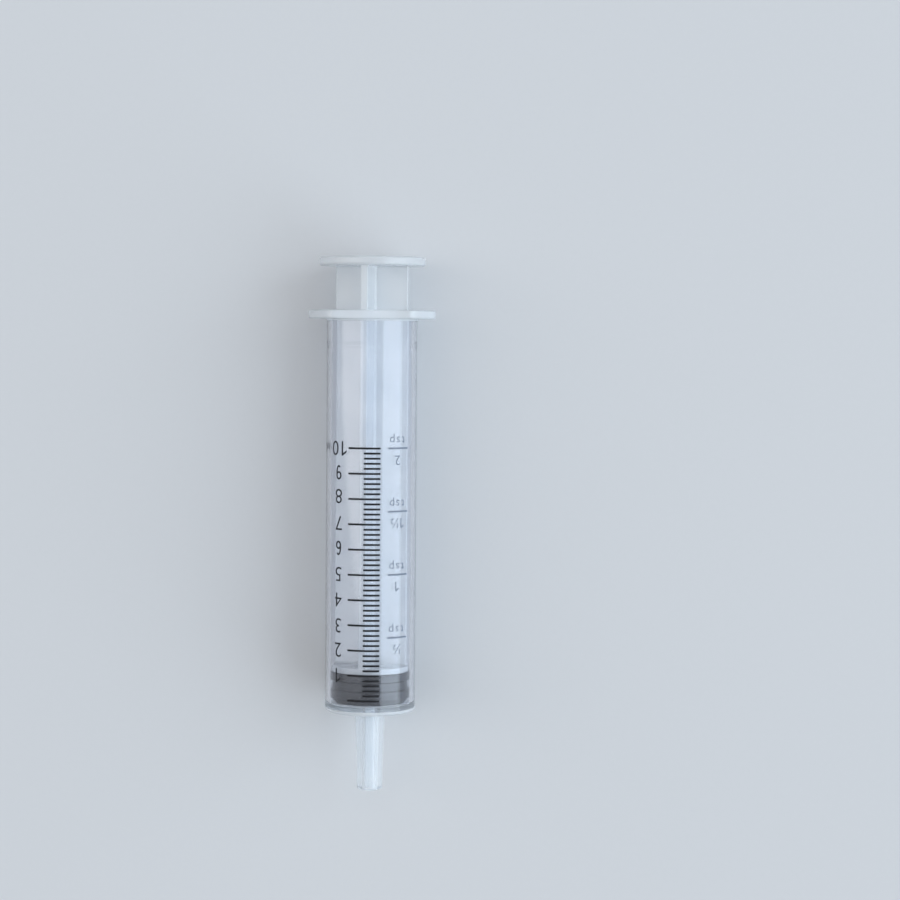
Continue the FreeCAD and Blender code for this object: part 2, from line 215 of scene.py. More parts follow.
def turned(
    name: str,
    profile: Profile,
    place: Callable[[float, float, float], Vector],
    segments: int = 128,
    reach: Callable[[float, float], float] | None = None,
) -> bpy.types.Object:
    """Turns a closed outline about the barrel's axis.

    Args:
        name: the new object's name.
        profile: (radius, along) points of a closed outline; points on the axis become poles.
        place: puts (angle, radius, along) in the shared frame.
        segments: steps round the axis.
        reach: optional change of a radius with the angle, for an outline that isn't round.

    Returns:
        The turned piece, closed and smooth.
    """
    build = bmesh.new()
    rings: list[list[bmesh.types.BMVert]] = []
    for radius, along in profile:
        if radius < TINY:
            rings.append([build.verts.new(place(0.0, 0.0, along))])
            continue
        ring = []
        for step in range(segments):
            angle = 2 * math.pi * step / segments
            ring.append(build.verts.new(place(angle, reach(radius, angle) if reach else radius, along)))
        rings.append(ring)
    for first, second in zip(rings, rings[1:] + rings[:1]):
        if len(first) == 1 and len(second) == 1:
            continue
        for step in range(segments):
            following = (step + 1) % segments
            if len(first) == 1:
                build.faces.new((first[0], second[step], second[following]))
            elif len(second) == 1:
                build.faces.new((first[step], second[0], first[following]))
            else:
                build.faces.new((first[step], second[step], second[following], first[following]))
    return mesh_object(name, build)


def dress(piece: bpy.types.Object, *materials: bpy.types.Material) -> None:
    """Gives a piece its materials, with the first of them on every face.

    Args:
        piece: the piece.
        materials: its materials, in the order of the faces' material numbers.
    """
    piece.data.materials.clear()
    for material in materials:
        piece.data.materials.append(material)


def enrol(piece: bpy.types.Object, body: Body, slot: Slot, *stands_for: str) -> None:
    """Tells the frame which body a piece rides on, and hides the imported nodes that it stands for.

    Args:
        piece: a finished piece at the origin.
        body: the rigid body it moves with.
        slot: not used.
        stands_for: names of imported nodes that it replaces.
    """
    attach(piece, body.value)
    if stands_for:
        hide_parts(*stands_for)
    LOG.info("%s: %d faces on %s", piece.name, len(piece.data.polygons), body.value)


# ---- Node tree helpers ----


@dataclass
class Wiring:
    """Adds and joins nodes in one tree, shader or geometry."""

    tree: bpy.types.NodeTree

    def add(self, kind: str, **settings: object) -> bpy.types.Node:
        """Adds a node.

        Args:
            kind: the node's type name.
            settings: properties of the node by name.

        Returns:
            The new node.
        """
        node = self.tree.nodes.new(kind)
        for name, value in settings.items():
            setattr(node, name, value)
        return node

    def feed(self, node: bpy.types.Node, **inputs: object) -> bpy.types.Node:
        """Sets or links a node's inputs.

        Args:
            node: the node that receives them.
            inputs: a socket or a value for each input, by the input's name in lower case with underscores,
                or by its number after an "i".

        Returns:
            The same node.
        """
        names = {socket.name.lower().replace(" ", "_"): socket for socket in reversed(node.inputs)}
        for name, value in inputs.items():
            socket = node.inputs[int(name[1:])] if name[0] == "i" and name[1:].isdigit() else names[name]
            if isinstance(value, bpy.types.NodeSocket):
                self.tree.links.new(value, socket)
            else:
                socket.default_value = value
        return node

    def math(self, operation: str, first: object, second: object = 0.0, third: object = 0.0) -> Socket:
        """Adds a math node.

        Args:
            operation: what it does.
            first: a number or a socket.
            second: another, where the operation takes two.
            third: another, where it takes three.

        Returns:
            The result.
        """
        node = self.add("ShaderNodeMath", operation=operation)
        self.feed(node, i0=first, i1=second, i2=third)
        return node.outputs[0]

    def blend(self, factor: object, first: object, second: object) -> Socket:
        """Mixes two colours.

        Args:
            factor: share of the second.
            first: a colour or a socket.
            second: a colour or a socket.

        Returns:
            The mixed colour.
        """
        node = self.add("ShaderNodeMix", data_type="RGBA")
        self.feed(node, i0=factor, i6=first, i7=second)
        return node.outputs[2]

    def ramp(self, value: object, low: float, high: float, start: float = 0.0, end: float = 1.0) -> Socket:
        """Maps a value from one range to another, smoothly and held at the ends.

        Args:
            value: the value.
            low: start of its range.
            high: end of its range.
            start: result at the start.
            end: result at the end.

        Returns:
            The result.
        """
        node = self.add("ShaderNodeMapRange", interpolation_type="SMOOTHSTEP")
        self.feed(node, value=value, from_min=low, from_max=high, to_min=start, to_max=end)
        return node.outputs[0]


def shader_group(
    name: str, inputs: dict[str, float | None], outputs: Iterable[str]
) -> tuple[Wiring, bpy.types.Node, bpy.types.Node]:
    """Starts a shader node group.

    Args:
        name: the group's name.
        inputs: a default for each number by name, or None for a vector.
        outputs: names of the numbers that it puts out.

    Returns:
        The group's wiring, its input node and its output node.
    """
    tree = bpy.data.node_groups.new(name, "ShaderNodeTree")
    for label, default in inputs.items():
        kind = "NodeSocketVector" if default is None else "NodeSocketFloat"
        socket = tree.interface.new_socket(label, in_out="INPUT", socket_type=kind)
        if default is not None:
            socket.default_value = default
    for label in outputs:
        tree.interface.new_socket(label, in_out="OUTPUT", socket_type="NodeSocketFloat")
    wiring = Wiring(tree)
    return wiring, wiring.add("NodeGroupInput"), wiring.add("NodeGroupOutput")


def moulding_group() -> bpy.types.NodeTree:
    """Faint relief of a moulded surface: a fine skin, slow waves of cooling, and lengthwise polish lines.

    Returns:
        The group, with a height for a bump node and a slowly varying tone.
    """
    inputs = {"Place": None, "Skin Size": 0.35, "Wave Size": 6.0, "Waves": 1.0, "Lines": 1.0}
    wiring, source, result = shader_group("moulding_relief", inputs, ("Height", "Tone"))
    given = source.outputs
    skin_height, wave_height, line_height = 0.35, 2.4, 0.3
    lines_per_mm, line_length = 3.2, 0.012

    def noise(place: Socket, scale: object, detail: float, roughness: float) -> Socket:
        """Adds a noise texture and returns its value."""
        node = wiring.add("ShaderNodeTexNoise", noise_dimensions="3D")
        return wiring.feed(node, vector=place, scale=scale, detail=detail, roughness=roughness).outputs["Fac"]

    skin = noise(given["Place"], wiring.math("DIVIDE", PER_MM, given["Skin Size"]), 3.0, 0.55)
    wave = noise(given["Place"], wiring.math("DIVIDE", PER_MM, given["Wave Size"]), 1.5, 0.4)
    drawn_out = wiring.feed(
        wiring.add("ShaderNodeMapping"), vector=given["Place"], scale=(1.0, line_length, 1.0)
    )
    lines = noise(drawn_out.outputs[0], lines_per_mm * PER_MM, 2.0, 0.6)
    height = wiring.math("MULTIPLY", wave, wiring.math("MULTIPLY", given["Waves"], wave_height))
    height = wiring.math("MULTIPLY_ADD", skin, skin_height, height)
    height = wiring.math("MULTIPLY_ADD", wiring.math("MULTIPLY", lines, given["Lines"]), line_height, height)
    wiring.feed(result, height=height, tone=wave)
    return wiring.tree


def handling_group() -> bpy.types.NodeTree:
    """Marks of use: sparse hair-fine scratches and scattered dust.

    Returns:
        The group, with a scratch mask and a dust mask, each 0 to 1.
    """
    inputs = {"Place": None, "Scratches": 0.5, "Dust": 0.5}
    wiring, source, result = shader_group("handling_marks", inputs, ("Scratch", "Dust"))
    given = source.outputs
    scratch_length, scratches_per_mm, scratch_threshold, scratch_full = 0.03, 1.5, 0.68, 0.74
    grains_per_mm, grain_core, grain_edge = 0.55, 0.03, 0.075
    strongest = 0.0
    for turn, shift in ((0.35, 3.0), (-0.6, 11.0), (1.35, 23.0)):
        turned_place = wiring.add("ShaderNodeMapping")
        start = (shift * MM, 0.0, 0.0)
        wiring.feed(turned_place, vector=given["Place"], location=start, rotation=(turn, turn, turn))
        drawn_out = wiring.add("ShaderNodeMapping")
        wiring.feed(drawn_out, vector=turned_place.outputs[0], scale=(1.0, scratch_length, 1.0))
        noise = wiring.add("ShaderNodeTexNoise", noise_dimensions="3D")
        scale = scratches_per_mm * PER_MM
        wiring.feed(noise, vector=drawn_out.outputs[0], scale=scale, detail=1.0, roughness=0.4)
        mask = wiring.ramp(noise.outputs["Fac"], scratch_threshold, scratch_full)
        strongest = wiring.math("MAXIMUM", strongest, mask)
    scratch = wiring.math("MULTIPLY", strongest, given["Scratches"])
    grains = wiring.add("ShaderNodeTexVoronoi", feature="F1")
    wiring.feed(grains, vector=given["Place"], scale=grains_per_mm * PER_MM, randomness=1.0)
    grain = wiring.ramp(grains.outputs["Distance"], grain_core, grain_edge, 1.0, 0.0)
    wiring.feed(result, scratch=scratch, dust=wiring.math("MULTIPLY", grain, given["Dust"]))
    return wiring.tree


# ---- Finishes ----


@dataclass
class Shelf:
    """The shader groups that the finishes share, built once."""

    moulding: bpy.types.NodeTree = field(default_factory=moulding_group)
    handling: bpy.types.NodeTree = field(default_factory=handling_group)


@dataclass(frozen=True)
class Finish:
    """What every surface here has: a colour that drifts, a skin, polish marks and dust.

    Attributes:
        name: the material's name.
        colour: main colour.
        drift: colour that the main one drifts towards over the surface.
        roughness: gloss where clean.
        marked_roughness: gloss on scratches and dust.
        relief: bump distance in millimetres.
        skin_size: size of the fine skin in millimetres.
        waves: how strongly the slow waves of cooling show.
        lines: how strongly the lengthwise polish lines show.
        scratches: how strongly scratches show.
        dust: how strongly dust shows.
        dust_colour: colour of the dust.
        gloss: strength of the mirror-like part, 0.5 for plain plastic.
    """

    name: str
    colour: Colour
    drift: Colour
    roughness: float
    marked_roughness: float
    relief: float = 0.003
    skin_size: float = 0.35
    waves: float = 1.0
    lines: float = 1.0
    scratches: float = 0.5
    dust: float = 0.4
    dust_colour: Colour = (0.75, 0.76, 0.78)
    gloss: float = 0.5

    def build(self, shelf: Shelf) -> bpy.types.Material:
        """Makes the material.

        Args:
            shelf: the shared shader groups.

        Returns:
            The finished material.
        """
        material = bpy.data.materials.new(self.name)
        material.use_nodes = True
        material.node_tree.nodes.clear()
        wiring = Wiring(material.node_tree)
        place = wiring.add("ShaderNodeTexCoord").outputs["Object"]
        moulding = wiring.add("ShaderNodeGroup", node_tree=shelf.moulding)
        wiring.feed(moulding, place=place, skin_size=self.skin_size, waves=self.waves, lines=self.lines)
        handling = wiring.add("ShaderNodeGroup", node_tree=shelf.handling)
        wiring.feed(handling, place=place, scratches=self.scratches, dust=self.dust)
        shader = wiring.add("ShaderNodeBsdfPrincipled")
        drifted = wiring.blend(
            wiring.ramp(moulding.outputs["Tone"], 0.3, 0.7), (*self.colour, 1.0), (*self.drift, 1.0)
        )
        colour = wiring.blend(handling.outputs["Dust"], drifted, (*self.dust_colour, 1.0))
        marks = wiring.math("MAXIMUM", handling.outputs["Scratch"], handling.outputs["Dust"])
        dulled = wiring.math("MULTIPLY_ADD", marks, self.marked_roughness - self.roughness, self.roughness)
        relief = wiring.math("MULTIPLY_ADD", handling.outputs["Scratch"], -0.5, moulding.outputs["Height"])
        bump = wiring.add("ShaderNodeBump")
        wiring.feed(bump, height=relief, strength=1.0, distance=self.relief * MM)
        wiring.feed(shader, base_color=colour, roughness=dulled, normal=bump.outputs["Normal"])
        wiring.feed(shader, specular_ior_level=self.gloss)
        self.finish_shader(wiring, shader)
        return material

    def finish_shader(self, wiring: Wiring, shader: bpy.types.Node) -> None:
        """Sets what is particular to this finish and joins the shader to the output."""
        output = wiring.add("ShaderNodeOutputMaterial")
        wiring.tree.links.new(shader.outputs[0], output.inputs["Surface"])


@dataclass(frozen=True)
class ClearPlastic(Finish):
    """A moulding that light passes through, more or less milky. Lamps shine through it on to what it holds.

    Attributes:
        refraction: index of refraction.
        clearness: share of the light that passes instead of being scattered back.
        lamp_pass: share of a lamp's light that reaches what is behind.
        cast: colour of the light that has passed.
    """

    refraction: float = 1.49
    clearness: float = 0.7
    lamp_pass: float = 0.85
    cast: Colour = (0.93, 0.955, 0.97)

    def finish_shader(self, wiring: Wiring, shader: bpy.types.Node) -> None:
        """Makes the shader refract, and lets lamps through to what lies behind."""
        wiring.feed(shader, ior=self.refraction, transmission_weight=self.clearness)
        through = wiring.add("ShaderNodeBsdfTransparent")
        wiring.feed(through, color=(*self.cast, 1.0))
        rays = wiring.add("ShaderNodeLightPath")
        share = wiring.math("MULTIPLY", rays.outputs["Is Shadow Ray"], self.lamp_pass)
        mix = wiring.add("ShaderNodeMixShader")
        wiring.feed(mix, i0=share, i1=shader.outputs[0], i2=through.outputs[0])
        output = wiring.add("ShaderNodeOutputMaterial")
        wiring.tree.links.new(mix.outputs[0], output.inputs["Surface"])


WALL_FINISH = ClearPlastic(
    name="clear_polypropylene",
    colour=(0.90, 0.91, 0.95),
    drift=(0.87, 0.885, 0.93),
    roughness=0.08,
    marked_roughness=0.3,
    waves=0.1,
    lines=3.0,
    scratches=0.35,
    dust=0.2,
    clearness=0.98,
)
THICK_FINISH = ClearPlastic(
    name="hazy_polypropylene",
    colour=(0.86, 0.89, 0.92),
    drift=(0.83, 0.865, 0.90),
    roughness=0.14,
    marked_roughness=0.35,
    waves=0.3,
    scratches=0.35,
    dust=0.25,
    clearness=0.45,
    lamp_pass=0.7,
)
NOZZLE_FINISH = replace(
    THICK_FINISH, name="nozzle_polypropylene", roughness=0.12, dust=0.2, clearness=0.74, lamp_pass=0.8
)
ROD_FINISH = ClearPlastic(
    name="natural_polypropylene",
    colour=(0.86, 0.88, 0.90),
    drift=(0.82, 0.845, 0.87),
    roughness=0.16,
    marked_roughness=0.4,
    relief=0.004,
    waves=0.3,
    scratches=0.3,
    dust=0.2,
    clearness=0.5,
    lamp_pass=0.55,
    cast=(0.94, 0.95, 0.97),
)
SEAL_FINISH = Finish(
    name="slate_rubber",
    colour=(0.016, 0.020, 0.031),
    drift=(0.012, 0.015, 0.024),
    roughness=0.42,
    marked_roughness=0.6,
    relief=0.01,
    skin_size=0.2,
    scratches=0.2,
    dust=0.3,
    dust_colour=(0.3, 0.32, 0.35),
)
INK_FINISH = Finish(
    name="black_print",
    colour=(0.004, 0.004, 0.006),
    drift=(0.012, 0.012, 0.015),
    roughness=0.45,
    marked_roughness=0.6,
    skin_size=0.12,
    scratches=0.5,
    dust=0.1,
    dust_colour=(0.2, 0.2, 0.22),
    gloss=0.25,
)
FAINT_INK_FINISH = Finish(
    name="grey_print",
    colour=(0.12, 0.15, 0.20),
    drift=(0.17, 0.20, 0.26),
    roughness=0.45,
    marked_roughness=0.6,
    skin_size=0.12,
    scratches=0.6,
    dust=0.2,
)


# ---- Barrel ----


@dataclass
class Barrel:
    """The clear barrel: tube, finger flange with two flats, end wall and nozzle in one moulding.

    Attributes hold its sizes in millimetres. Distances along the axis run from the open end.
    """

    layout: Layout
    bore: float = 8.0
    outside: float = 9.0
    length: float = 79.9
    end_wall: float = 1.7
    flange_reach: float = 12.7
    flange_flat: float = 10.0
    flange_corner: float = 1.5
    flange_thickness: float = 1.75
    flange_rim: float = 1.0
    nozzle_length: float = 15.9
    nozzle_base: float = 3.0
    nozzle_tip: float = 2.55
    nozzle_land: float = 5.0
    channel: float = 1.0
    bead_at: float = 6.9
    bead_height: float = 0.1
    bead_foot: float = 0.7
    mouth: float = 0.4
    segments: int = 192

    def reach(self, radius: float, angle: float) -> float:
        """Narrows the flange's outline to its two flats, with rounded corners.

        Args:
            radius: radius of the full circle through this point of the profile.
            angle: angle from straight up, in radians.

        Returns:
            The radius in this direction. Points on the tube and at the flange's root stay as they are.
        """
        if radius < self.flange_reach - self.flange_rim:
            return radius
        inset = self.flange_reach - radius
        arc, flat, corner = radius, self.flange_flat - inset, self.flange_corner
        rise, side = abs(math.cos(angle)), abs(math.sin(angle))
        height = flat - corner
        across = math.sqrt((arc - corner) ** 2 - height**2)
        if math.atan2(side, rise) >= math.atan2(across, height):
            return arc
        if side * flat <= across * rise:
            return flat / rise
        along = across * side + height * rise
        return along + math.sqrt(along**2 - across**2 - height**2 + corner**2)

    def profile(self) -> Profile:
        """The closed outline that the barrel is turned from.

        Returns:
            Points (radius, along), from the mouth up the bore, through the nozzle and back outside.
        """
        chamber = self.length - self.end_wall
        end = self.length + self.nozzle_length
        crest = self.bore - self.bead_height
        return rounded(
            (
                (self.bore + self.mouth, 0.0, 0.12),
                (self.bore, self.mouth, 0.12),
                (self.bore, self.bead_at - self.bead_foot, 1.5),
                (crest, self.bead_at, 1.5),
                (self.bore, self.bead_at + self.bead_foot, 1.5),
                (self.bore, chamber, 0.35),
                (self.channel, chamber, 0.3),
                (self.channel, end, 0.12),
                (self.nozzle_tip, end, 0.4),
                (self.nozzle_tip, end - self.nozzle_land, 1.5),
                (self.nozzle_base, self.length, 0.8),
                (self.outside, self.length, 0.8),
                (self.outside, self.flange_thickness, 0.45),
                (self.flange_reach, self.flange_thickness, 0.4),
                (self.flange_reach, 0.0, 0.4),
            )
        )

    def part_finishes(self, piece: bpy.types.Object) -> None:
        """Gives material 1 to the flange and the end wall, where the plastic is thick, and 2 to the nozzle.

        Args:
            piece: the barrel.
        """
        flange_back = self.flange_thickness + 0.25
        skin = self.bore + 0.2
        end_wall_start = self.length - self.end_wall - 0.1
        nozzle_start = self.length + 0.3
        for face in piece.data.polygons:
            along = (self.layout.open_end - face.center.y) / MM
            radius = math.hypot(face.center.x, face.center.z - self.layout.axis_height) / MM
            if along > nozzle_start:
                face.material_index = 2
            elif (along < flange_back and radius > skin) or along > end_wall_start:
                face.material_index = 1

    def build(self, shelf: Shelf) -> bpy.types.Object:
        """Makes, dresses and enrols the barrel.

        Args:
            shelf: the shared shader groups.

        Returns:
            The barrel.
        """
        piece = turned(
            "barrel_moulding",
            self.profile(),
            lambda angle, radius, along: self.layout.point(self.layout.open_end, angle, radius, along),
            self.segments,
            self.reach,
        )
        dress(piece, *(finish.build(shelf) for finish in (WALL_FINISH, THICK_FINISH, NOZZLE_FINISH)))
        self.part_finishes(piece)
        enrol(piece, Body.BARREL, Slot.BARREL, "barrel")
        return piece


# ---- Piston seal ----


@dataclass
class PistonSeal:
    """The rubber seal: two sealing lands with a groove between them, a coned nose and a socket for the barb.

    Attributes hold its sizes in millimetres. Distances along the axis run from its rear face.
    """

    layout: Layout
    radius: float = 7.96
    length: float = 4.9
    nose_length: float = 6.2
    nose_radius: float = 6.8
    land: float = 1.4
    groove: float = 0.45
    ramp: float = 0.3
    neck_hole: float = 2.88
    socket: float = 4.48
    socket_nose: float = 2.58
    lip: float = 1.4
    socket_land: float = 1.36
    socket_taper: float = 1.6

    def profile(self) -> Profile:
        """The closed outline that the seal is turned from.

        Returns:
            Points (radius, along), from the neck hole round the outside, over the nose and into the socket.
        """
        waist = self.radius - self.groove
        front_land = self.length - self.land
        shoulder = self.lip + self.socket_land
        return rounded(
            (
                (self.neck_hole, 0.0, 0.1),
                (self.radius, 0.0, 0.15),
                (self.radius, self.land, 0.15),
                (waist, self.land + self.ramp, 0.12),
                (waist, front_land - self.ramp, 0.12),
                (self.radius, front_land, 0.15),
                (self.radius, self.length, 0.15),
                (self.nose_radius, self.nose_length, 0.4),
                (0.0, self.nose_length, 0.0),
                (0.0, shoulder + self.socket_taper, 0.0),
                (self.socket_nose, shoulder + self.socket_taper, 0.15),
                (self.socket, shoulder, 0.15),
                (self.socket, self.lip, 0.1),
                (self.neck_hole, self.lip, 0.1),
            ),
            steps=4,
        )

    def build(self, shelf: Shelf) -> bpy.types.Object:
        """Makes, dresses and enrols the seal.

        Args:
            shelf: the shared shader groups.

        Returns:
            The seal.
        """
        piece = turned(
            "rubber_seal",
            self.profile(),
            lambda angle, radius, along: self.layout.point(self.layout.seal_rear, angle, radius, along),
        )
        dress(piece, SEAL_FINISH.build(shelf))
        enrol(piece, Body.PISTON, Slot.SEAL, "piston_seal")
        return piece


# ---- Plunger rod ----


@dataclass
class PlungerRod:
    """The plunger rod: thumb disc with grip rings, four ribs, a disc behind the seal, a neck and a barb.

    Attributes hold its sizes in millimetres. Distances along the axis run from the thumb disc's outer face.
    """

    layout: Layout
    thumb: float = 10.6
    thumb_thickness: float = 1.75
    thumb_edge: float = 0.5
    grip_rings: tuple[float, ...] = (3.0, 5.0, 7.0)
    grip_width: float = 0.7
    grip_depth: float = 0.3
    core: float = 1.3
    rib_reach: float = 7.3
    rib_thickness: float = 1.4
    rib_turn: float = 11.0
    rib_edge: float = 0.2
    rib_root: float = 0.5
    foot: float = 0.45
    disc: float = 7.6
    disc_thickness: float = 1.2
    neck: float = 2.8
    barb: float = 4.4
    barb_nose: float = 2.5
    barb_land: float = 1.2
    barb_taper: float = 1.6
    disc_gap: float = 0.05
    barb_depth: float = 1.48
    crease: float = 28.0

    @property
    def seal_rear(self) -> float:
        """Distance to the seal's rear face."""
        return (self.layout.thumb_face - self.layout.seal_rear) / MM

    @property
    def disc_front(self) -> float:
        """Distance to the front of the disc that backs the seal."""
        return self.seal_rear - self.disc_gap

    @property
    def barb_rear(self) -> float:
        """Distance to the rear of the barb, inside the seal's lip."""
        return self.seal_rear + self.barb_depth

    def turned_profile(self) -> Profile:
        """Outline of everything but the ribs.

        Returns:
            Points (radius, along), from the thumb disc's outer face to the barb's nose.
        """
        corners: list[Corner] = [(0.0, 0.0, 0.0)]
        for ring in self.grip_rings:
            corners += [
                (ring - self.grip_width / 2, 0.0, 0.08),
                (ring, self.grip_depth, 0.15),
                (ring + self.grip_width / 2, 0.0, 0.08),
            ]
        disc_rear = self.disc_front - self.disc_thickness
        shoulder = self.barb_rear + self.barb_land
        corners += [
            (self.thumb, 0.0, self.thumb_edge),
            (self.thumb, self.thumb_thickness, self.thumb_edge),
            (self.core, self.thumb_thickness, 0.4),
            (self.core, disc_rear, 0.4),
            (self.disc, disc_rear, 0.2),
            (self.disc, self.disc_front, 0.2),
            (self.neck, self.disc_front, 0.15),
            (self.neck, self.barb_rear, 0.1),
            (self.barb, self.barb_rear, 0.15),
            (self.barb, shoulder, 0.2),
            (self.barb_nose, shoulder + self.barb_taper, 0.3),
            (0.0, shoulder + self.barb_taper, 0.0),
        ]
        return rounded(corners, steps=4)

    def cross_section(self, thickening: float) -> Profile:
        """Outline of the four ribs, cut across the rod.

        Args:
            thickening: extra on every side, for the roots of the ribs.

        Returns:
            Points (across, up) round the cross, with rounded tips and filleted roots.
        """
        tip = self.rib_reach
        side = self.rib_thickness / 2 + thickening
        arm = [(side, tip, self.rib_edge), (side, side, self.rib_root), (tip, side, self.rib_edge)]
        corners: list[Corner] = []
        for quarter in range(4):
            turn = -quarter * math.pi / 2
            cosine, sine = math.cos(turn), math.sin(turn)
            corners += [(x * cosine - y * sine, x * sine + y * cosine, radius) for x, y, radius in arm]
        return rounded(corners, steps=4, support=0.06)

    def ribs(self) -> bpy.types.Object:
        """Lofts the cross from disc to disc, its roots flaring into both.

        Returns:
            A closed piece whose ends lie inside the discs.
        """
        disc_rear = self.disc_front - self.disc_thickness
        buried = 0.6
        steps = 4
        bends = [step * math.pi / 2 / steps for step in range(steps + 1)]
        flare = [(self.foot * (1 - math.cos(bend)), self.foot * (1 - math.sin(bend))) for bend in bends]
        stations = [(self.thumb_thickness - buried, self.foot)]
        stations += [(self.thumb_thickness + along, extra) for along, extra in flare]
        stations += [(disc_rear - along, extra) for along, extra in reversed(flare)]
        stations += [(disc_rear + buried, self.foot)]
        turn = math.radians(self.rib_turn)
        build = bmesh.new()
        rings = []
        for along, extra in stations:
            ring = []
            for across, up in self.cross_section(extra):
                angle, radius = math.atan2(across, up) - turn, math.hypot(across, up)
                ring.append(build.verts.new(self.layout.point(self.layout.thumb_face, angle, radius, along)))
            rings.append(ring)
        for first, second in zip(rings, rings[1:]):
            count = len(first)
            for step in range(count):
                following = (step + 1) % count
                build.faces.new((first[step], second[step], second[following], first[following]))
        build.faces.new(rings[0])
        build.faces.new(rings[-1])
        return mesh_object("ribs", build)

    def build(self, shelf: Shelf) -> bpy.types.Object:
        """Makes, dresses and enrols the rod.

        Args:
            shelf: the shared shader groups.

        Returns:
            The rod.
        """
        piece = turned(
            "plunger_moulding",
            self.turned_profile(),
            lambda angle, radius, along: self.layout.point(self.layout.thumb_face, angle, radius, along),
        )
        join_solids(piece, self.ribs())
        shade_by_angle(piece, math.radians(self.crease))
        dress(piece, ROD_FINISH.build(shelf))
        enrol(piece, Body.PLUNGER, Slot.ROD, "plunger_rod")
        return piece


def join_solids(piece: bpy.types.Object, other: bpy.types.Object) -> None:
    """Unites one closed piece with another, which is used up.

    Args:
        piece: the piece that keeps its name.
        other: the piece that is added to it.
    """
    union = piece.modifiers.new("union", "BOOLEAN")
    union.operation = "UNION"
    union.solver = "EXACT"
    union.object = other
    bake_modifiers(piece)
    bpy.data.objects.remove(other)


def bake_modifiers(piece: bpy.types.Object) -> None:
    """Replaces a piece's mesh by what its modifiers make of it, and removes them.

    Args:
        piece: the piece.
    """
    seen = piece.evaluated_get(bpy.context.evaluated_depsgraph_get())
    mesh = bpy.data.meshes.new_from_object(seen)
    piece.modifiers.clear()
    old = piece.data
    piece.data = mesh
    mesh.name = piece.name
    bpy.data.meshes.remove(old)


def shade_by_angle(piece: bpy.types.Object, limit: float) -> None:
    """Shades smooth, with edges sharper than a limit kept crisp.

    Args:
        piece: the piece to shade.
        limit: angle between faces, in radians.
    """
    piece.data.shade_smooth()
    piece.data.set_sharp_from_angle(angle=limit)


# ---- Printed scales ----


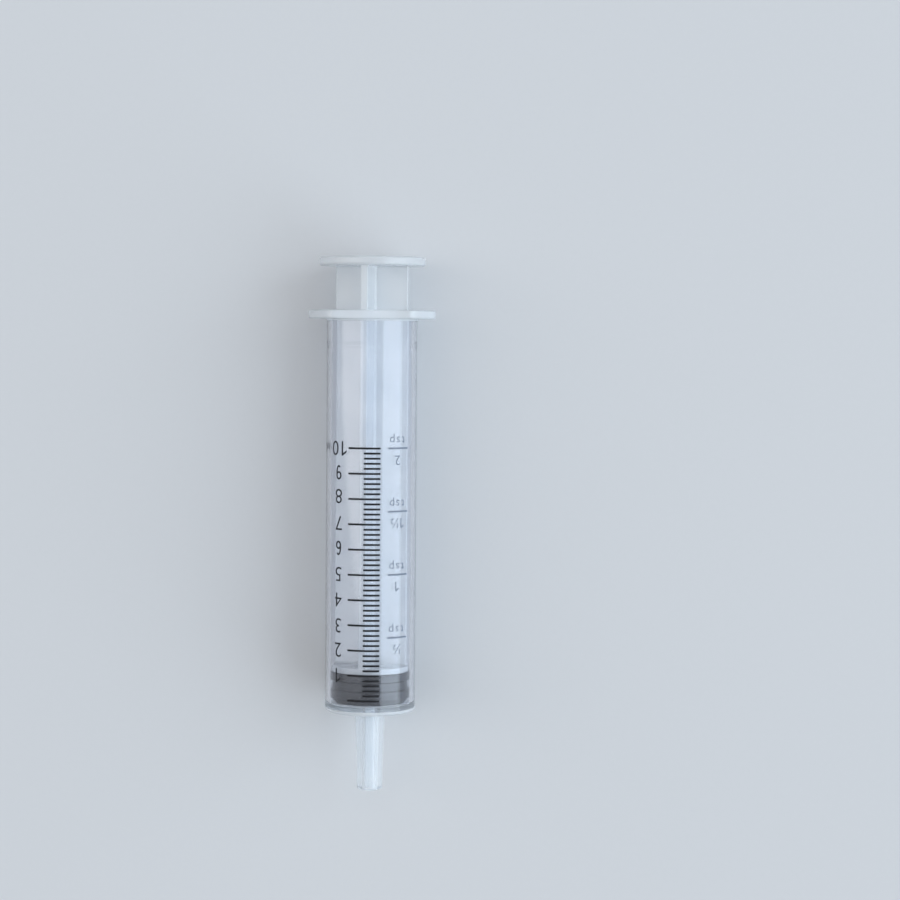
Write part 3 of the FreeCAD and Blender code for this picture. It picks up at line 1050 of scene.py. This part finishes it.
@dataclass(frozen=True)
class Ruling:
    """Sizes of one set of printed lines, in millimetres unless named otherwise.

    Attributes:
        name: the node tree's name.
        count: number of lines.
        step: distance between lines.
        first: distance of the first line from the barrel's open end.
        major_every: every so many lines is a long one, counted from the first.
        short: length of a short line round the tube.
        long: length of a long line round the tube.
        edge: arc from the top of the tube to the lines' common edge, towards +X.
        width: width of a line along the axis.
        film: thickness of the ink.
        radius: outside radius of the tube.
        unevenness: how much lines differ in length.
        seed: seed of that unevenness.
    """

    name: str
    count: int
    step: float
    first: float
    major_every: int
    short: float
    long: float
    edge: float
    width: float = 0.38
    film: float = 0.03
    radius: float = 9.0
    unevenness: float = 0.05
    seed: int = 5

    def values(self, layout: Layout, ink: bpy.types.Material) -> dict[str, object]:
        """Collects the tree's inputs.

        Args:
            layout: where the barrel is.
            ink: material of the lines.

        Returns:
            Each input's value by its name, with lengths in metres.
        """
        lengths = {
            "Step": self.step,
            "First": self.first,
            "Short": self.short,
            "Long": self.long,
            "Edge": self.edge,
            "Width": self.width,
            "Film": self.film,
            "Radius": self.radius,
            "Unevenness": self.unevenness,
        }
        values: dict[str, object] = {label: length * MM for label, length in lengths.items()}
        values |= {"Count": self.count, "Major Every": self.major_every, "Seed": self.seed, "Ink": ink}
        return values | {"Axis Height": layout.axis_height, "Open End": layout.open_end}

    def tree(self, values: dict[str, object]) -> bpy.types.NodeTree:
        """Builds the Geometry Nodes that rule a cylinder with lines.

        Args:
            values: a value for each input, which also tells the input's kind.

        Returns:
            The tree, with named inputs.
        """
        kinds = {bpy.types.Material: "NodeSocketMaterial", int: "NodeSocketInt", float: "NodeSocketFloat"}
        tree = bpy.data.node_groups.new(self.name, "GeometryNodeTree")
        for label, value in values.items():
            tree.interface.new_socket(label, in_out="INPUT", socket_type=kinds[type(value)])
        tree.interface.new_socket("Geometry", in_out="OUTPUT", socket_type="NodeSocketGeometry")
        wiring = Wiring(tree)
        given = wiring.add("NodeGroupInput").outputs
        rows = wiring.feed(wiring.add("GeometryNodePoints"), count=given["Count"], position=(0.0, 0.0, 0.0))
        index = wiring.add("GeometryNodeInputIndex").outputs[0]
        remainder = wiring.math("MODULO", index, given["Major Every"])
        is_major = wiring.math("LESS_THAN", remainder, 0.5)
        span = wiring.math("SUBTRACT", given["Long"], given["Short"])
        length = wiring.math("MULTIPLY_ADD", is_major, span, given["Short"])
        chance = wiring.add("FunctionNodeRandomValue", data_type="FLOAT")
        shortest = wiring.math("MULTIPLY", given["Unevenness"], -1.0)
        wiring.feed(chance, i2=shortest, i3=0.0, id=index, seed=given["Seed"])
        length = wiring.math("ADD", length, chance.outputs[1])
        down = wiring.math("MULTIPLY_ADD", index, given["Step"], 0.0)
        spot = wiring.add("ShaderNodeCombineXYZ")
        middle = wiring.math("MULTIPLY_ADD", length, -0.5, given["Edge"])
        wiring.feed(spot, x=middle, y=wiring.math("ADD", down, wiring.math("MULTIPLY", given["First"], -1.0)))
        moved = wiring.add("GeometryNodeSetPosition")
        wiring.feed(moved, geometry=rows.outputs[0], position=spot.outputs[0])
        block_size = wiring.add("ShaderNodeCombineXYZ")
        wiring.feed(block_size, x=1.0, y=given["Width"], z=given["Film"])
        block = wiring.add("GeometryNodeMeshCube")
        wiring.feed(block, size=block_size.outputs[0], vertices_x=15, vertices_y=2, vertices_z=2)
        lift = wiring.add("ShaderNodeCombineXYZ")
        wiring.feed(lift, z=wiring.math("MULTIPLY", given["Film"], 0.5))
        raised = wiring.add("GeometryNodeSetPosition")
        wiring.feed(raised, geometry=block.outputs[0], offset=lift.outputs[0])
        stretch = wiring.add("ShaderNodeCombineXYZ")
        wiring.feed(stretch, x=length, y=1.0, z=1.0)
        copies = wiring.add("GeometryNodeInstanceOnPoints")
        wiring.feed(copies, points=moved.outputs[0], instance=raised.outputs[0], scale=stretch.outputs[0])
        real = wiring.feed(wiring.add("GeometryNodeRealizeInstances"), geometry=copies.outputs[0])
        bent = self.bend(wiring, given, real.outputs[0])
        inked = wiring.feed(wiring.add("GeometryNodeSetMaterial"), geometry=bent, material=given["Ink"])
        wiring.feed(wiring.add("NodeGroupOutput"), geometry=inked.outputs[0])
        return tree

    @staticmethod
    def bend(wiring: Wiring, given: bpy.types.bpy_prop_collection, flat: Socket) -> Socket:
        """Rolls flat lines round the tube.

        Args:
            wiring: the tree's wiring.
            given: the tree's inputs.
            flat: geometry laid out as (arc, along, height above the tube).

        Returns:
            The geometry on the tube.
        """
        here = wiring.add("GeometryNodeInputPosition").outputs[0]
        parts = wiring.feed(wiring.add("ShaderNodeSeparateXYZ"), vector=here).outputs
        angle = wiring.math("DIVIDE", parts[0], given["Radius"])
        reach = wiring.math("ADD", given["Radius"], parts[2])
        across = wiring.math("MULTIPLY", reach, wiring.math("SINE", angle))
        height = wiring.math("MULTIPLY_ADD", reach, wiring.math("COSINE", angle), given["Axis Height"])
        along = wiring.math("ADD", given["Open End"], parts[1])
        rolled = wiring.feed(wiring.add("ShaderNodeCombineXYZ"), x=across, y=along, z=height)
        moved = wiring.add("GeometryNodeSetPosition")
        wiring.feed(moved, geometry=flat, position=rolled.outputs[0])
        return moved.outputs[0]

    def lines(self, layout: Layout, ink: bpy.types.Material) -> bpy.types.Object:
        """Runs the tree and keeps its result as a plain mesh.

        Args:
            layout: where the barrel is.
            ink: material of the lines.

        Returns:
            The lines, as one piece at the origin.
        """
        values = self.values(layout, ink)
        tree = self.tree(values)
        piece = bpy.data.objects.new(self.name, bpy.data.meshes.new(self.name))
        bpy.context.scene.collection.objects.link(piece)
        modifier = piece.modifiers.new("ruling", "NODES")
        modifier.node_group = tree
        for item in tree.interface.items_tree:
            if item.in_out == "INPUT":
                modifier[item.identifier] = values[item.name]
        bake_modifiers(piece)
        return piece


@dataclass(frozen=True)
class Lettering:
    """One printed word or number, upright when the nozzle points up.

    Attributes:
        text: what it says.
        height: height of a figure, in millimetres.
        arc: arc from the top of the tube to the middle of the text, towards +X, in millimetres.
        along: distance of the text's middle from the barrel's open end, in millimetres.
        stretch: width compared with the font's own.
        gap: space between characters, as a share of the font's size.
    """

    text: str
    height: float
    arc: float
    along: float
    stretch: float = 1.0
    gap: float = 0.215

    @staticmethod
    def outline_one(stroke: float) -> list[Profile]:
        """Draws a figure one with a flag.

        Args:
            stroke: width of the stroke, as a share of the font's size.

        Returns:
            Its one closed outline.
        """
        stem, drop, top = 0.2, 0.16, FIGURE_HEIGHT
        foot = [(stem, 0.0), (stem + stroke, 0.0), (stem + stroke, top), (stem + 0.2 * stroke, top)]
        return [foot + [(0.0, top - drop), (0.0, top - drop - 1.2 * stroke), (stem, top - 1.4 * stroke)]]

    @staticmethod
    def outline_six(stroke: float) -> list[Profile]:
        """Draws a figure six: a round bowl with a curved tail.

        Args:
            stroke: width of the stroke, as a share of the font's size.

        Returns:
            Its closed outlines: the outer edge and the bowl's hole.
        """
        half, bowl, tall = 0.17, 0.2, FIGURE_HEIGHT / 2
        tail, slant, overlap, arc_step = 50.0, 4.0, 6.0, 12.0

        def arc(height: float, rise: float, inset: float, start: float, end: float) -> Profile:
            """Points of an arc of an ellipse around (half, height), from one angle in degrees to another."""
            steps = max(2, math.ceil(abs(end - start) / arc_step))
            turns = [math.radians(start + (end - start) * step / steps) for step in range(steps + 1)]
            across, up = half - inset, rise - inset
            return [(half + across * math.cos(turn), height + up * math.sin(turn)) for turn in turns]

        meeting = math.degrees(math.acos((stroke - half) / half))
        outer = arc(tall, tall, 0.0, tail, 180.0) + arc(bowl, bowl, 0.0, 180.0, 360.0 + meeting)
        inner = arc(tall, tall, stroke, 180.0 - overlap, tail + slant)
        return [outer + inner, arc(bowl, bowl, stroke, 0.0, 360.0 - arc_step)]

    @classmethod
    def outlines(cls, character: str, weight: float) -> list[Profile]:
        """Draws the figures whose shape in the built-in font is not that of this print.

        Args:
            character: the letter or figure.
            weight: change of the stroke's half width, as a share of the font's size.

        Returns:
            Closed outlines, or none where the font's own character serves.
        """
        plain_stroke = 0.095
        stroke = plain_stroke + 2 * weight
        if character == "1":
            return cls.outline_one(stroke)
        if character == "6":
            return cls.outline_six(stroke)
        if character == "9":
            six = cls.outline_six(stroke)
            return [[(-across, FIGURE_HEIGHT - up) for across, up in outline] for outline in six]
        return []

    @staticmethod
    def fill(outlines: list[Profile]) -> bpy.types.Curve:
        """Makes a filled flat curve.

        Args:
            outlines: closed outlines; one inside another is a hole.

        Returns:
            The curve.
        """
        curve = bpy.data.curves.new("figure", "CURVE")
        curve.dimensions, curve.fill_mode = "2D", "BOTH"
        for corners in outlines:
            spline = curve.splines.new("POLY")
            spline.points.add(len(corners) - 1)
            for point, (across, up) in zip(spline.points, corners):
                point.co = (across, up, 0.0, 1.0)
            spline.use_cyclic_u = True
        return curve

    def add_character(self, flat: bmesh.types.BMesh, character: str, pen: float, weight: float) -> float:
        """Adds one character beside those already there.

        Args:
            flat: the bmesh that receives it, laid out flat.
            character: the letter or figure.
            pen: where the last one's room ends.
            weight: change of the strokes' half width, as a share of the font's size.

        Returns:
            Where this one's room ends.
        """
        outlines = self.outlines(character, weight)
        if outlines:
            curve = self.fill(outlines)
        else:
            curve = bpy.data.curves.new("lettering", "FONT")
            curve.body = character
            curve.size = 1.0
            curve.align_x, curve.align_y = "LEFT", "BOTTOM_BASELINE"
            curve.offset = weight
        curve.extrude = 0.5
        curve.resolution_u = 5
        holder = bpy.data.objects.new("lettering", curve)
        bpy.context.scene.collection.objects.link(holder)
        seen = holder.evaluated_get(bpy.context.evaluated_depsgraph_get())
        mesh = bpy.data.meshes.new_from_object(seen)
        bpy.data.objects.remove(holder)
        bpy.data.curves.remove(curve)
        left = min(vertex.co.x for vertex in mesh.vertices)
        mesh.transform(Matrix.Translation((pen - left, 0.0, 0.0)))
        flat.from_mesh(mesh)
        right = max(vertex.co.x for vertex in mesh.vertices)
        bpy.data.meshes.remove(mesh)
        return right + self.gap

    def add_to(
        self, build: bmesh.types.BMesh, layout: Layout, radius: float, film: float, weight: float
    ) -> None:
        """Rolls the text on to the tube and adds it to a bmesh.

        Args:
            build: the bmesh that receives it.
            layout: where the barrel is.
            radius: outside radius of the tube, in millimetres.
            film: thickness of the ink, in millimetres.
            weight: change of the strokes' half width, as a share of the font's size.
        """
        flat = bmesh.new()
        pen = 0.0
        for character in self.text:
            pen = self.add_character(flat, character, pen, weight)
        bmesh.ops.remove_doubles(flat, verts=flat.verts, dist=SLIVER)
        scale = self.height / FIGURE_HEIGHT
        spread = scale * self.stretch
        left = min(vertex.co.x for vertex in flat.verts)
        right = max(vertex.co.x for vertex in flat.verts)
        strip_width = 0.2
        strip = strip_width / spread
        for cut in range(1, math.ceil((right - left) / strip)):
            everything = [*flat.verts, *flat.edges, *flat.faces]
            place = (left + cut * strip, 0, 0)
            bmesh.ops.bisect_plane(flat, geom=everything, plane_co=place, plane_no=(1, 0, 0))
        bmesh.ops.remove_doubles(flat, verts=flat.verts, dist=SLIVER)
        bmesh.ops.recalc_face_normals(flat, faces=flat.faces)
        made: dict[bmesh.types.BMVert, bmesh.types.BMVert] = {}
        for vertex in flat.verts:
            across = (vertex.co.x - (left + right) / 2) * spread
            up = (vertex.co.y - FIGURE_HEIGHT / 2) * scale
            height = radius + film if vertex.co.z > 0 else radius
            place = layout.point(layout.open_end, (self.arc - across) / radius, height, self.along + up)
            made[vertex] = build.verts.new(place)
        for face in flat.faces:
            build.faces.new([made[vertex] for vertex in face.verts])
        flat.free()


@dataclass
class Scales:
    """The printed millilitre and teaspoon scales.

    Attributes hold sizes in millimetres and volumes in millilitres.
    """

    layout: Layout
    bore: float = 8.0
    outside: float = 9.0
    zero: float = 76.8
    capacity: int = 10
    steps_per_ml: int = 5
    figure_height: float = 2.85
    figure_arc: float = -6.75
    figure_shift: float = 0.1
    figure_stretch: float = 1.0
    figure_slips: tuple[float, ...] = (0.1, 0.0, 0.15, 0.05, -0.05, -0.25, -0.2, -0.5, -0.25, 0.0)
    film: float = 0.03
    ink_weight: float = -0.006
    spoon: float = 5.0
    spoon_arc: float = 5.8
    spoon_figures: tuple[str, ...] = ("½", "1", "1½", "2")
    spoon_figure_height: float = 1.9
    spoon_figure_shift: float = 2.35
    spoon_unit_height: float = 1.7
    spoon_unit_shift: float = -1.45
    unit_height: float = 1.6
    unit_arc: float = -11.55

    def length_of(self, volume: float) -> float:
        """Length of the bore that holds a volume."""
        return volume / MM / (math.pi * self.bore**2)

    def at(self, volume: float) -> float:
        """Distance of a volume's line from the barrel's open end."""
        return self.zero - self.length_of(volume)

    def print_figures(self, name: str, figures: Iterable[Lettering]) -> bpy.types.Object:
        """Prints a set of words and numbers.

        Args:
            name: the new piece's name.
            figures: what to print.

        Returns:
            The lettering, as one piece.
        """
        build = bmesh.new()
        for figure in figures:
            figure.add_to(build, self.layout, self.outside, self.film, self.ink_weight)
        return mesh_object(name, build, smooth=False)

    def build(self, shelf: Shelf) -> list[bpy.types.Object]:
        """Makes, dresses and enrols both scales with their figures.

        Args:
            shelf: the shared shader groups.

        Returns:
            The printed pieces.
        """
        black, grey = INK_FINISH.build(shelf), FAINT_INK_FINISH.build(shelf)
        step = self.length_of(1.0 / self.steps_per_ml)
        ml_lines = Ruling(
            name="ml_lines",
            count=self.capacity * self.steps_per_ml + 1,
            step=step,
            first=self.zero,
            major_every=self.steps_per_ml,
            short=3.3,
            long=6.5,
            edge=2.1,
        ).lines(self.layout, black)
        spoon_lines = Ruling(
            name="spoon_lines",
            count=len(self.spoon_figures),
            step=self.length_of(self.spoon / 2),
            first=self.at(self.spoon / 2),
            major_every=1,
            short=4.7,
            long=4.7,
            edge=8.4,
            width=0.34,
            seed=9,
        ).lines(self.layout, grey)
        ml_figures = []
        for volume, slip in enumerate(self.figure_slips, start=1):
            along, stretch = self.at(volume) + self.figure_shift + slip, self.figure_stretch
            ml_figures.append(Lettering(str(volume), self.figure_height, self.figure_arc, along, stretch))
        top = self.at(self.capacity) + self.figure_shift
        ml_figures.append(Lettering("mL", self.unit_height, self.unit_arc, top))
        spoon_figures = []
        for index, text in enumerate(self.spoon_figures, start=1):
            line = self.at(self.spoon / 2 * index)
            for word, height, shift in (
                (text, self.spoon_figure_height, self.spoon_figure_shift),
                ("tsp", self.spoon_unit_height, self.spoon_unit_shift),
            ):
                spoon_figures.append(Lettering(word, height, self.spoon_arc, line + shift))
        pieces = [
            (ml_lines, black, Slot.INK, ("ml_scale",)),
            (self.print_figures("ml_figures", ml_figures), black, Slot.INK, ()),
            (spoon_lines, grey, Slot.FAINT_INK, ("spoon_scale",)),
            (self.print_figures("spoon_figures", spoon_figures), grey, Slot.FAINT_INK, ()),
        ]
        for piece, ink, slot, stands_for in pieces:
            dress(piece, ink)
            enrol(piece, Body.BARREL, slot, *stands_for)
        return [piece for piece, *_ in pieces]


# ---- Studio ----


@dataclass(frozen=True)
class Lamp:
    """A soft rectangular lamp.

    Attributes:
        name: its name.
        place: where it hangs, in metres.
        sides: its two sides in metres.
        power: its power in watts.
        colour: its colour.
    """

    name: str
    place: tuple[float, float, float]
    sides: tuple[float, float]
    power: float
    colour: Colour

    def hang(self, aim: Vector) -> None:
        """Hangs the lamp.

        Args:
            aim: the point that it faces.
        """
        data = bpy.data.lights.new(self.name, "AREA")
        data.shape = "RECTANGLE"
        data.size, data.size_y = self.sides
        data.energy = self.power
        data.color = self.colour
        lamp = bpy.data.objects.new(self.name, data)
        lamp.location = self.place
        lamp.rotation_mode = "QUATERNION"
        lamp.rotation_quaternion = (aim - lamp.location).to_track_quat("-Z", "Y")
        bpy.context.scene.collection.objects.link(lamp)


LAMPS = (
    Lamp("window_right", (2.64, -0.2, 1.68), (4.4, 3.2), 104.0, (0.78, 0.90, 1.0)),
    Lamp("soft_left", (-1.8, 0.3, 1.5), (1.05, 2.7), 15.0, (1.0, 0.98, 0.95)),
    Lamp("overhead", (0.0, 1.05, 2.7), (2.4, 1.5), 7.2, (1.0, 1.0, 1.0)),
)


@dataclass
class Studio:
    """A pale table, soft lamps and the camera.

    Attributes:
        table_colour: colour of the table.
        table_size: width of the table in metres.
        sky_colour: colour of the light from all round.
        sky_strength: its strength as light.
        sky_seen: its strength where it is seen directly, in a gloss or through clear plastic.
        camera_place: where the camera stands, in metres.
        camera_tilt: lean of the camera from straight down towards the nozzle, in degrees.
        camera_roll: turn of the picture, in degrees.
        focal_length: focal length in millimetres on a 36 mm wide sensor.
        aim: the point that the lamps face, in metres.
    """

    table_colour: Colour = (0.66, 0.67, 0.69)
    table_size: float = 30.0
    sky_colour: Colour = (0.93, 0.96, 1.0)
    sky_strength: float = 0.42
    sky_seen: float = 0.64
    camera_place: tuple[float, float, float] = (0.01546, 0.038, 0.4606)
    camera_tilt: float = 2.927
    camera_roll: float = 0.461
    focal_length: float = 90.48
    aim: tuple[float, float, float] = (0.0, -0.03, 0.01)

    def table(self) -> None:
        """Lays the table under the syringe."""
        build = bmesh.new()
        bmesh.ops.create_grid(build, x_segments=1, y_segments=1, size=self.table_size / 2)
        piece = mesh_object("table", build, smooth=False)
        material = bpy.data.materials.new("pale_table")
        material.use_nodes = True
        wiring = Wiring(material.node_tree)
        shader = material.node_tree.nodes["Principled BSDF"]
        place = wiring.add("ShaderNodeTexCoord").outputs["Object"]
        mottle = wiring.feed(wiring.add("ShaderNodeTexNoise"), vector=place, scale=900.0, detail=4.0)
        darker = tuple(0.98 * part for part in self.table_colour)
        tone = wiring.blend(mottle.outputs["Fac"], (*self.table_colour, 1.0), (*darker, 1.0))
        wiring.feed(shader, base_color=tone, roughness=0.75)
        dress(piece, material)

    def sky(self) -> None:
        """Sets the even light from all round."""
        world = bpy.data.worlds.new("soft_sky")
        world.use_nodes = True
        background = world.node_tree.nodes["Background"]
        wiring = Wiring(world.node_tree)
        rays = wiring.add("ShaderNodeLightPath").outputs
        seen = wiring.math("MAXIMUM", rays["Is Camera Ray"], rays["Is Glossy Ray"])
        seen = wiring.math("MAXIMUM", seen, rays["Is Transmission Ray"])
        strength = wiring.math("MULTIPLY_ADD", seen, self.sky_seen - self.sky_strength, self.sky_strength)
        wiring.feed(background, color=(*self.sky_colour, 1.0), strength=strength)
        bpy.context.scene.world = world

    def camera(self) -> None:
        """Sets up the camera, above the syringe's finger flange."""
        data = bpy.data.cameras.new("overhead_camera")
        data.sensor_width = 36.0
        data.lens = self.focal_length
        data.clip_start, data.clip_end = 0.01, 50.0
        camera = bpy.data.objects.new("overhead_camera", data)
        camera.location = self.camera_place
        camera.rotation_euler = (-math.radians(self.camera_tilt), 0.0, math.radians(self.camera_roll))
        bpy.context.scene.collection.objects.link(camera)
        bpy.context.scene.camera = camera

    def build(self) -> None:
        """Sets up everything that isn't the syringe."""
        self.table()
        for lamp in LAMPS:
            lamp.hang(Vector(self.aim))
        self.sky()
        self.camera()
        bpy.context.scene.view_settings.view_transform = "Standard"


def main() -> None:
    """Builds the syringe and the studio."""
    logging.basicConfig(level=logging.INFO, format="%(name)s: %(message)s")
    layout = Layout.read()
    shelf = Shelf()
    PlungerRod(layout).build(shelf)
    PistonSeal(layout).build(shelf)
    Barrel(layout).build(shelf)
    Scales(layout).build(shelf)
    Studio().build()
    bpy.context.view_layer.update()


if __name__ == "__main__":
    main()
